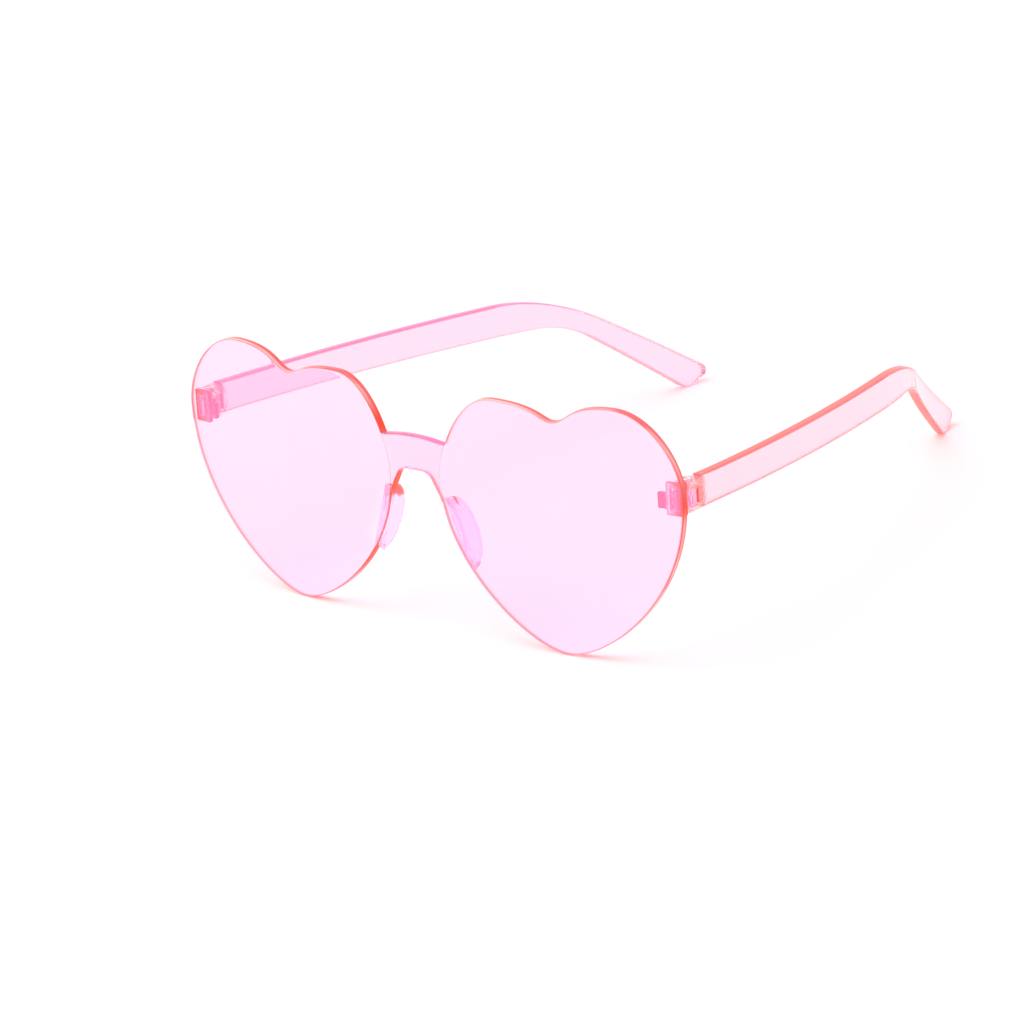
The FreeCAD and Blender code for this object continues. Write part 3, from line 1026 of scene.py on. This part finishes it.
@dataclass
class HingeBlock:
    """The front half of a hinge: a foot with a tab on the lens's back, and a bored knuckle on a neck."""

    side: Side
    foot_edge_inset: float = 0.7
    foot_width: float = 4.2
    foot_height: float = 7.4
    tab_width: float = 2.2
    neck_width: float = 2.6
    corner: float = 0.3
    edge_round: float = 0.15
    overlap: float = 0.4
    seat_gap: float = 0.01
    tiny: float = 1.0e-6
    columns: int = 96
    face_glow: float = 0.06
    tab_glow: float = 0.85
    end_glow: float = 0.0
    end_band: Pair = (1.1, 0.8)
    end_fade: float = 0.5
    side_band: float = 0.6
    side_fade: float = 0.8
    side_glow: float = 0.9
    tab_gap: float = 0.3
    tab_fade: float = 0.5
    spine_shift: float = 0.4
    rib_fade: float = 0.65
    rib_band: float = 0.5
    rib_run: float = 1.0
    knuckle_glow: float = 0.15

    def foot(self) -> Skin:
        """Shape the foot: a rounded plate in the outline of a tall block with a tab towards the nose.

        Its outer side has a hot painted glow, its tab a painted glow throughout, and its two ends a painted
        glow by their own share. Painted stripes of glow, standing in for ribs, show on the front, and fade
        towards the two ends.

        Returns:
            The foot's skin.
        """
        end = HEART.outer_side - self.foot_edge_inset
        start = end - self.foot_width
        tab, tall = start - self.tab_width, self.foot_height / 2.0
        low, high = (sign * HINGE.knuckle_height / 2.0 - HINGE.knuckle_drop for sign in (-1.0, 1.0))
        corners = np.array([
            (start, tall), (end, tall), (end, -tall), (start, -tall),
            (start, low), (tab, low), (tab, high), (start, high),
        ]) + (0.0, HINGE.height)
        outline = softened(corners, self.corner)
        middle = np.array([(start + end) / 2.0 - self.spine_shift, HINGE.height])
        plate = Plate.of(outline, middle, self.edge_round)
        thick = HINGE.foot_thickness - self.seat_gap
        behind = HINGE.lens_thickness + self.seat_gap + plate.depth(thick)
        grid = HEART.place(plate.flat[..., 0], behind, plate.flat[..., 1])
        across, rise = plate.flat[..., 0], np.abs(plate.flat[..., 1] - HINGE.height)
        ends = window(rise, tall - self.end_band[0], OPEN, self.end_fade)
        ends = ends * window(across, start + self.end_band[1], OPEN, self.end_band[1])
        hot = np.maximum(window(across, end - self.side_band, OPEN, self.side_fade), self.end_glow * ends)
        tabbed = self.tab_glow * window(across, -OPEN, start - self.tab_gap, self.tab_fade)
        rim = np.max(np.broadcast_arrays(plate.rim, self.face_glow, self.side_glow * hot, tabbed), axis=0)
        painted_rib_stripes = 1.0 - self.rib_fade * window(rise, tall - self.rib_band, OPEN, self.rib_run)
        painted_rib_stripes = np.where(plate.share == 0.0, painted_rib_stripes, 0.0)
        return sew(grid, {Mark.RIM: rim, Mark.CORE: painted_rib_stripes, Mark.HOT: hot})

    def knuckle(self) -> Skin:
        """Shape the knuckle: its radius round the pin is the barrel's, or the neck's where that is further.

        The neck's edge lies at half its width over the sine, and its end at its length over the cosine.

        Returns:
            The bored knuckle's skin.
        """
        angle = np.linspace(0.0, 2.0 * math.pi, self.columns, endpoint=False)
        side, ahead = np.sin(angle), np.maximum(np.cos(angle), self.tiny)
        length = HINGE.stop_gap + HINGE.barrel_radius + self.overlap
        neck = np.minimum(self.neck_width / 2.0 / np.maximum(np.abs(side), self.tiny), length / ahead)
        radius = np.maximum(HINGE.barrel_radius, np.where(np.cos(angle) > 0.0, neck, 0.0))
        spoke = np.stack([-side, -np.cos(angle)], -1)
        outline = (spoke * radius[:, None])[::-1]
        bore = (spoke * HINGE.running_radius)[::-1]
        plate = Plate.of(outline, bore, self.edge_round)
        high = HINGE.knuckle_middle - HINGE.knuckle_height / 2.0 + plate.depth(HINGE.knuckle_height)
        grid = HEART.place(HINGE.pin_reach + plate.flat[..., 0], HINGE.pin_behind + plate.flat[..., 1], high)
        none = np.zeros_like(high)
        # A faint painted glow on the knuckle's rim.
        marks = {Mark.RIM: self.knuckle_glow * plate.rim, Mark.CORE: none, Mark.HOT: none}
        return sew(grid, marks, ring=True)

    def build(self) -> bpy.types.Object:
        """Join foot and knuckle, and dress the block.

        Returns:
            The block, standing for its node.
        """
        piece = self.foot().mirrored(self.side).object(f"{self.side.word}_hinge_foot")
        knuckle = self.knuckle().mirrored(self.side).object("knuckle_tool")
        carved(piece, [(knuckle, "UNION")])
        piece.data.materials.clear()
        piece.data.materials.append(HINGE_SHEET.material())
        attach(piece, "front")
        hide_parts(f"{self.side.word}_hinge_block")
        return piece


@dataclass
class TemplePlan:
    """The temple's outer face from above: straight past the pin, then three arcs that run into each other."""

    thickness: float = 2.4
    turns_deg: tuple[float, ...] = (2.4, 12.7, 27.2, 14.5)
    reaches: tuple[float, ...] = (0.0, 86.7, 110.5, 141.8)

    def x(self, y: Array, depth: Array) -> Array:
        """Read the plan across the strip.

        On an arc about (cx, cy), X is cx + (r - depth) cos a, where sin a is (Y - cy) / (r - depth). Ahead of
        the pin the strip is straight.

        Args:
            y: Distance behind the front.
            depth: Distance inward from the outer face.

        Returns:
            X of the points.
        """
        pin = HINGE.pin
        first = math.radians(self.turns_deg[0])
        at = np.array([pin[0] + HINGE.barrel_radius, pin[1]])
        run = (at[1] - depth * math.sin(first) - y) / math.cos(first)
        x = at[0] + run * math.sin(first) - depth * math.cos(first)
        for leg in range(3):
            turn, last = (math.radians(self.turns_deg[leg + k]) for k in (0, 1))
            length = self.reaches[leg + 1] - self.reaches[leg]
            radius = length / (math.sin(last) - math.sin(turn))
            centre = at - radius * np.array([math.cos(turn), math.sin(turn)])
            arm = radius - depth
            sine = np.clip((y - centre[1]) / arm, -1.0, 1.0)
            started = y >= centre[1] + arm * math.sin(turn)
            x = np.where(started, centre[0] + arm * np.sqrt(1.0 - sine ** 2), x)
            at = centre + radius * np.array([math.cos(last), math.sin(last)])
        return x


@dataclass
class TempleSide:
    """The temple from the side: two edges, each with one bend, round a heel and a smaller tip end."""

    root_height: float = 39.8
    width: float = 7.3
    slopes_deg: Pair = (2.9, 3.2)
    bend_reaches: Pair = (101.8, 105.7)
    bend_rounds: Pair = (54.5, 24.5)
    tip_reaches: Pair = (138.8, 136.1)
    tip_heights: Pair = (10.7, 11.5)
    tip_rounds: Pair = (2.0, 4.0)
    run_steps: int = 72
    bend_steps: int = 28
    tail_steps: int = 24
    tip_steps: int = 16

    def edges(self, start: float) -> tuple[Array, Array, Array]:
        """Trace both edges from the root to the tip.

        An edge falls straight from the root, rounds its bend, runs on along the line that touches its circle
        at the tip, and follows that circle to the line that touches both circles at the tip's end.

        Args:
            start: Distance behind the pin at which the strip starts.

        Returns:
            The upper edge, the lower edge, and the spine between them, all with the same number of points.
        """
        pin = HINGE.pin[1]
        centres = np.stack([pin + np.array(self.tip_reaches), np.array(self.tip_heights)], -1)
        across = centres[1] - centres[0]
        slant = math.atan2(across[1], across[0])
        slant += math.acos((self.tip_rounds[0] - self.tip_rounds[1]) / math.hypot(*across))
        outward = np.array([math.cos(slant), math.sin(slant)])
        meet = np.mean(centres + np.array(self.tip_rounds)[:, None] * outward, axis=0)
        traced = []
        for k, sign in enumerate((1.0, -1.0)):
            fall = math.tan(math.radians(self.slopes_deg[k]))
            root = np.array([pin, self.root_height + sign * self.width / 2.0])
            first, corner = (root + np.array([run, -run * fall]) for run in (start, self.bend_reaches[k]))
            toward = centres[k] - corner
            distance = math.hypot(*toward)
            length = math.sqrt(distance ** 2 - self.tip_rounds[k] ** 2)
            angle = math.atan2(toward[1], toward[0]) + sign * math.asin(self.tip_rounds[k] / distance)
            touch = corner + length * np.array([math.cos(angle), math.sin(angle)])
            back = (first - corner) / np.linalg.norm(first - corner)
            ahead = (touch - corner) / length
            half = math.acos(float(back @ ahead)) / 2.0
            inward = (back + ahead) / np.linalg.norm(back + ahead)
            centre = corner + inward * self.bend_rounds[k] / math.sin(half)
            enter, leave = (corner + way * self.bend_rounds[k] / math.tan(half) for way in (back, ahead))
            run = first + np.linspace(0.0, 1.0, self.run_steps, endpoint=False)[:, None] * (enter - first)
            sweep = [math.atan2(*(point - centre)[::-1]) for point in (enter, leave)]
            angle = np.linspace(*sweep, self.bend_steps, endpoint=False)
            bend = centre + self.bend_rounds[k] * np.stack([np.cos(angle), np.sin(angle)], -1)
            tail = leave + np.linspace(0.0, 1.0, self.tail_steps, endpoint=False)[:, None] * (touch - leave)
            sweep = [math.atan2(*way[::-1]) for way in (touch - centres[k], outward)]
            angle = np.linspace(*sweep, self.tip_steps)
            cap = centres[k] + self.tip_rounds[k] * np.stack([np.cos(angle), np.sin(angle)], -1)
            traced.append(np.concatenate([run, bend, tail, cap, meet[None]]))
        spine = (traced[0] + traced[1]) / 2.0
        spine[-self.tip_steps - 1:] = spine[-self.tip_steps - 2]
        return traced[0], traced[1], spine


@dataclass
class Temple:
    """One temple: a strip bent over the ear, with a fork of two barrels that takes the hinge knuckle."""

    side: Side
    finish: DyedPolycarbonatePaintedGlow
    slot_reach: float = 3.0
    junction: float = 2.2
    edge_round: float = 0.5
    fork_round: float = 0.15
    fork_corner: float = 0.22
    lower_glow: float = 0.85
    tail_glow: Pair = (1.0, 0.85)
    outer_glow: float = 1.0
    fork_glow: float = 0.5
    fork_clear: float = 0.6
    fork_edges: Pair = (0.6, 0.05)
    fork_lead: float = 0.85
    corner_share: float = 0.45
    arm_steps: int = 22
    bar_heat: float = 1.0
    bar_half: float = 0.2
    bar_share: Pair = (0.5, 0.1)
    corner_steps: int = 5
    ramp_reach: int = 3
    tail_reach: float = 114.0
    tail_fade: float = 10.0
    tail_heat: float = 0.6
    edge_drop: float = 2.0
    edge_fade: float = 1.0
    bore_over: float = 3.0
    plan: TemplePlan = field(default_factory=TemplePlan)
    profile: TempleSide = field(default_factory=TempleSide)

    def front_end(self) -> float:
        """Y of the fork's front faces, a stop gap behind the hinge's foot at the temple's outer face."""
        radius, wrap = HINGE.barrel_radius, math.radians(HEART.wrap_deg)
        return float(HINGE.pin[1] - radius / math.cos(wrap) + radius * math.tan(wrap))

    def outline(self) -> tuple[Array, Array, Array]:
        """Trace the temple clockwise from the fork's upper front corner, with the knuckle's slot.

        Returns:
            The outline, the spine point of each outline point, and the edge round of each outline point.
        """
        pin, front = HINGE.pin[1], self.front_end()
        slot = pin + self.slot_reach
        top, low = HINGE.fork_top, HINGE.height - HINGE.fork_height / 2.0
        gap = HINGE.knuckle_height / 2.0 + HINGE.axial_gap
        slot_top, slot_low = HINGE.knuckle_middle + gap, HINGE.knuckle_middle - gap
        upper, lower, spine = self.profile.edges(self.slot_reach)
        crotch = np.array([slot + self.junction, (upper[0, 1] + lower[0, 1]) / 2.0])
        spine = np.where((spine[:, 0] < crotch[0])[:, None], crotch, spine)
        arm = np.linspace(0.0, 1.0, self.arm_steps)[1:-1, None]
        fork_y = front + arm * (slot - front)

        def run(start: Pair, end: Pair) -> Array:
            """Points on the way from one corner of the fork to the next."""
            return np.array(start) + arm * (np.array(end) - np.array(start))

        def turned(corner: Pair, before: Pair, after: Pair) -> Array:
            """Round one corner of the fork by a parabola, within its shorter side.

            Args:
                corner: The corner.
                before: The corner before it.
                after: The corner after it.

            Returns:
                The parabola's points.
            """
            ends = np.array([before, corner, after])
            shorter = np.linalg.norm(ends[[0, 2]] - ends[1], axis=1).min()
            reach = min(self.fork_corner, self.corner_share * float(shorter))
            return softened(ends, reach)[self.corner_steps:2 * self.corner_steps]

        corners = [
            (front, top), (slot, top), tuple(upper[0]), tuple(lower[0]), (slot, low), (front, low),
            (front, slot_low), (slot, slot_low), (slot, slot_top), (front, slot_top),
        ]
        line_y = np.maximum(fork_y, front + self.fork_lead)
        upper_line = np.concatenate([line_y, 0 * fork_y + (top + slot_top) / 2.0], 1)
        lower_line = np.concatenate([line_y, 0 * fork_y + (low + slot_low) / 2.0], 1)
        each = np.ones((self.corner_steps, 1))
        parts = [
            (turned(corners[0], corners[9], corners[1]), each * upper_line[0], self.fork_round),
            (run(corners[0], corners[1]), upper_line, self.fork_round),
            (turned(corners[1], corners[0], corners[2]), each * upper_line[-1], self.fork_round),
            (turned(corners[2], corners[1], tuple(upper[1])), each * crotch, self.fork_round),
            (upper[1:], spine[1:], self.edge_round),
            (lower[1:-1][::-1], spine[1:-1][::-1], self.edge_round),
            (turned(corners[3], tuple(lower[1]), corners[4]), each * crotch, self.fork_round),
            (turned(corners[4], corners[3], corners[5]), each * lower_line[-1], self.fork_round),
            (run(corners[4], corners[5]), lower_line[::-1], self.fork_round),
            (turned(corners[5], corners[4], corners[6]), each * lower_line[0], self.fork_round),
            (turned(corners[6], corners[5], corners[7]), each * lower_line[0], self.fork_round),
            (run(corners[6], corners[7]), lower_line, self.fork_round),
            (turned(corners[7], corners[6], corners[8]), each * lower_line[-1], self.fork_round),
            (run(corners[7], corners[8]), 0 * upper_line + crotch, self.fork_round),
            (turned(corners[8], corners[7], corners[9]), each * upper_line[-1], self.fork_round),
            (run(corners[8], corners[9]), upper_line[::-1], self.fork_round),
            (turned(corners[9], corners[8], corners[0]), each * upper_line[0], self.fork_round),
        ]
        rounds = np.concatenate([np.full(len(points), value) for points, _, value in parts])
        span = 2 * self.ramp_reach + 1
        wrapped = np.pad(rounds, self.ramp_reach, mode="wrap")
        ramp = np.convolve(wrapped, np.full(span, 1.0 / span), mode="valid")
        return (
            np.concatenate([points for points, _, _ in parts]),
            np.concatenate([spines for _, spines, _ in parts]),
            np.minimum(rounds, ramp),
        )

    def skin(self) -> Skin:
        """Bend the plate: X follows the plan, and the inner face bulges to the barrel's circle at the pin.

        The depth of the inner face is the strip's thickness, or barrel radius + sqrt(radius^2 - (Y - pin)^2).

        Returns:
            The temple's skin on its side, still without the screw's bore.
        """
        outline, spine, rounds = self.outline()
        plate = Plate.of(outline, spine, rounds)
        y, z = plate.flat[..., 0], plate.flat[..., 1]
        radius = HINGE.barrel_radius
        bulge = radius + np.sqrt(np.maximum(radius ** 2 - (y - HINGE.pin[1]) ** 2, 0.0))
        thickness = np.where(bulge > radius, np.maximum(bulge, self.plan.thickness), self.plan.thickness)
        depth = plate.depth(thickness)
        grid = np.stack([self.plan.x(y, depth), y, z], -1)
        # Painted glow on the rim: hot at the knuckle's slot and towards the tail, set apart for the upper and
        # lower edges and the outer face, and even over the fork.
        reach = y - HINGE.pin[1]
        gap = HINGE.knuckle_height / 2.0 + HINGE.axial_gap
        half = self.bar_half
        bar = window(reach, self.slot_reach - half, self.slot_reach + half, half)
        bar = bar * window(z, HINGE.knuckle_middle - gap, HINGE.knuckle_middle + gap, half)
        bar = bar * window(plate.share, self.bar_share[0], OPEN, self.bar_share[1])
        tail = window(reach, self.tail_reach, OPEN, self.tail_fade)
        hot = np.maximum(self.bar_heat * bar, self.tail_heat * tail)
        drop = spine[:, 1] - outline[:, 1]
        above, under = (window(way * drop, self.edge_drop, OPEN, self.edge_fade) for way in (-1.0, 1.0))
        high_glow = 1.0 + (self.tail_glow[0] - 1.0) * tail
        low_glow = self.lower_glow + (self.tail_glow[1] - self.lower_glow) * tail
        outer = 1.0 - (1.0 - self.outer_glow) * (1.0 - plate.share) * above
        rim = plate.rim * outer * (1.0 + (high_glow - 1.0) * above + (low_glow - 1.0) * under)
        fork = window(reach, -OPEN, self.slot_reach + self.fork_edges[0], self.fork_edges[0])
        rim = np.maximum(rim * (1.0 - fork) + self.fork_glow * fork, bar)
        clear = window(reach, -OPEN, self.slot_reach + self.fork_edges[1], half)
        bond = np.maximum(plate.vanish(rim) * (1.0 - fork), self.fork_clear * clear) * (1.0 - bar)
        marks = {Mark.RIM: rim, Mark.CORE: plate.core, Mark.HOT: hot, Mark.BOND: bond}
        return sew(grid, marks).mirrored(self.side)

    def build(self) -> bpy.types.Object:
        """Make the temple, bore it for the screw and its head, and dress it.

        Returns:
            The temple, standing for its node.
        """
        piece = self.skin().object(f"{self.side.word}_temple_arm")
        below, over = HINGE.height - HINGE.fork_height, HINGE.fork_top + self.bore_over
        thread, run, sink = HINGE.thread_radius, HINGE.running_radius, HINGE.sink_radius
        profile = np.array([
            (0.0, below), (thread, below), (thread, HINGE.height), (run, HINGE.height),
            (run, HINGE.seat), (sink, HINGE.seat), (sink, over), (0.0, over),
        ])
        bore = HINGE.rod(profile).mirrored(self.side).object("bore_tool")
        carved(piece, [(bore, "DIFFERENCE")])
        piece.data.materials.clear()
        piece.data.materials.append(self.finish.material())
        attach(piece, f"{self.side.word}_temple")
        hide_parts(f"{self.side.word}_temple")
        return piece


@dataclass
class HingeScrew:
    """A hinge screw: a slotted flat head, a plain shank through the knuckle and a fine thread below it."""

    side: Side
    radius: float = 0.7
    head_radius: float = 1.25
    head_height: float = 0.8
    end_short: float = 0.2
    chamfer: float = 0.15
    slot_width: float = 0.35
    slot_depth: float = 0.35
    slot_over: float = 1.0
    thread_depth: float = 0.07
    pitch: float = 0.3
    shank_steps: int = 180
    columns: int = 40

    def build(self) -> bpy.types.Object:
        """Turn the screw, cut its driver slot and dress it.

        Returns:
            The screw, standing for its node.
        """
        seat, head, cut = HINGE.seat, self.head_radius, self.chamfer
        end = HINGE.height - HINGE.fork_height / 2.0 + self.end_short
        top = seat + self.head_height
        shank = np.linspace(end + cut, seat, self.shank_steps)
        profile = np.concatenate([
            [(0.0, end), (self.radius - cut, end)],
            np.stack([np.full_like(shank, self.radius), shank], -1),
            [(head, seat), (head, top - cut), (head - cut, top), (0.0, top)],
        ])
        high, plain = profile[:, 1], HINGE.knuckle_middle - HINGE.knuckle_height / 2.0
        thread = np.where((high > end + cut / 2.0) & (high < plain), self.thread_depth, 0.0)
        skin = HINGE.rod(profile, self.columns, thread, self.pitch)
        piece = skin.mirrored(self.side).object(f"{self.side.word}_slotted_screw")
        pin = HINGE.pin
        long, wide = 2.0 * head, self.slot_width / 2.0
        corners = np.array([(-long, -wide), (-long, wide), (long, wide), (long, -wide)]) + pin[:2]
        rows = np.stack([corners * 0 + pin[:2], corners, corners, corners * 0 + pin[:2]])
        low, over = top - self.slot_depth, top + self.slot_over
        heights = np.array([low, low, over, over])[:, None] * np.ones((4, 4))
        slot = sew(np.concatenate([rows, heights[..., None]], -1), {})
        cutter = slot.mirrored(self.side).object("slot_tool")
        carved(piece, [(cutter, "DIFFERENCE")])
        piece.data.materials.clear()
        piece.data.materials.append(SCREW_STEEL.material())
        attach(piece, f"{self.side.word}_temple")
        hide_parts(f"{self.side.word}_hinge_screw")
        return piece


@dataclass(frozen=True)
class PhotoCamera:
    """The camera: its direction round the front's frame, and how far it stands off."""

    azimuth_deg: float = 40.165
    elevation_deg: float = 19.327
    roll_deg: float = -3.943
    distance: float = 1205.73
    aim: tuple[float, float, float] = (0.0, 40.0, 29.0)
    offset: Pair = (4.012, 13.438)
    focal_px: float = 5377.1
    image_px: float = 1024.0
    sensor_mm: float = 36.0
    far_m: float = 100.0

    def build(self) -> bpy.types.Object:
        """Place the camera with its axes right, up and back, leaned and shifted as the glasses are.

        Returns:
            The camera, set as the scene's own.
        """
        turn, rise, roll = (math.radians(a) for a in (self.azimuth_deg, self.elevation_deg, self.roll_deg))
        back = np.array([math.sin(turn) * math.cos(rise), -math.cos(turn) * math.cos(rise), math.sin(rise)])
        right = np.array([math.cos(turn), math.sin(turn), 0.0])
        up = np.cross(back, right)
        across = math.cos(roll) * right + math.sin(roll) * up
        upright = math.cos(roll) * up - math.sin(roll) * right
        eye = np.array(self.aim) + back * self.distance - self.offset[0] * across - self.offset[1] * upright
        data = bpy.data.cameras.new("studio_camera")
        data.sensor_width = self.sensor_mm
        data.lens = self.focal_px * self.sensor_mm / self.image_px
        data.clip_end = self.far_m
        camera = bpy.data.objects.new("studio_camera", data)
        bpy.context.scene.collection.objects.link(camera)
        frame_of = np.eye(4)
        frame_of[:3, :3] = STANCE.turn(np.stack([across, upright, back])).T
        frame_of[:3, 3] = STANCE.place(eye)
        camera.matrix_world = Matrix(frame_of.tolist())
        bpy.context.scene.camera = camera
        return camera


@dataclass(frozen=True)
class Studio:
    """A white table in even white light, with one broad soft lamp overhead."""

    floor_half: float = 8.0
    floor_colour: str = "#fafafa"
    surround: float = 0.72
    lamp_strength: float = 1.35
    lamp_spread_deg: float = 50.0
    lamp_tilt_deg: Pair = (24.0, -14.0)

    def build(self) -> None:
        """Lay the floor, hang the lamp and light the surround."""
        half = self.floor_half
        corners = [(-half, -half, 0.0), (half, -half, 0.0), (half, half, 0.0), (-half, half, 0.0)]
        mesh = bpy.data.meshes.new("white_table")
        mesh.from_pydata(corners, [], [(0, 1, 2, 3)])
        floor = bpy.data.objects.new("white_table", mesh)
        bpy.context.scene.collection.objects.link(floor)
        paper = blank_material("matt_white_paper")
        sheet = add_node(paper.node_tree, "ShaderNodeBsdfDiffuse", {"Color": linear(self.floor_colour)})
        add_node(paper.node_tree, "ShaderNodeOutputMaterial", None, {"Surface": sheet.outputs[0]})
        mesh.materials.append(paper)
        data = bpy.data.lights.new("soft_overhead_lamp", "SUN")
        data.energy = self.lamp_strength
        data.angle = math.radians(self.lamp_spread_deg)
        lamp = bpy.data.objects.new("soft_overhead_lamp", data)
        lamp.rotation_euler = (math.radians(self.lamp_tilt_deg[0]), math.radians(self.lamp_tilt_deg[1]), 0.0)
        bpy.context.scene.collection.objects.link(lamp)
        world = bpy.data.worlds.new("white_surround")
        world.use_nodes = True
        world.node_tree.nodes.clear()
        add = partial(add_node, world.node_tree)
        path = add("ShaderNodeLightPath")
        straight = path.outputs["Is Camera Ray"]
        for kind in ("Is Glossy Ray", "Is Transmission Ray"):
            straight = add(
                "ShaderNodeMath", {"operation": "MAXIMUM"}, {0: straight, 1: path.outputs[kind]}
            ).outputs[0]
        lit = add("ShaderNodeBackground", {"Color": (1.0, 1.0, 1.0, 1.0), "Strength": self.surround})
        seen = add("ShaderNodeBackground", {"Color": (1.0, 1.0, 1.0, 1.0), "Strength": 1.0})
        both = add("ShaderNodeMixShader", None, {0: straight, 1: lit.outputs[0], 2: seen.outputs[0]})
        add("ShaderNodeOutputWorld", None, {"Surface": both.outputs[0]})
        bpy.context.scene.world = world
        bpy.context.scene.view_settings.view_transform = "Standard"


def main() -> None:
    """Build the glasses piece by piece, then the studio."""
    logging.basicConfig(level=logging.INFO, format="%(name)s: %(message)s")
    makers = [HeartLens(Side.LEFT, padded_open=0.0), HeartLens(Side.RIGHT)]
    makers += [NoseBridge()]
    # Left and right differ in their painted glow, as light fell on each side.
    makers += [NosePad(Side.LEFT, blob_reach=0.9, foot_glow=0.7), NosePad(Side.RIGHT)]
    makers += [HingeBlock(Side.LEFT), HingeBlock(Side.RIGHT, tab_glow=0.4, end_glow=0.9)]
    dimmer_right_painted_glow = {"lower_glow": 0.42, "tail_glow": (0.55, 0.7), "outer_glow": 0.7, "bar_heat": 0.0}
    makers += [Temple(Side.LEFT, LEFT_TEMPLE_SHEET), Temple(Side.RIGHT, RIGHT_TEMPLE_SHEET, **dimmer_right_painted_glow)]
    makers += [HingeScrew(side) for side in Side]
    for maker in makers:
        piece = maker.build()
        log.info("%s: %d points, %d faces", piece.name, len(piece.data.vertices), len(piece.data.polygons))
    Studio().build()
    PhotoCamera().build()


if __name__ == "__main__":
    main()
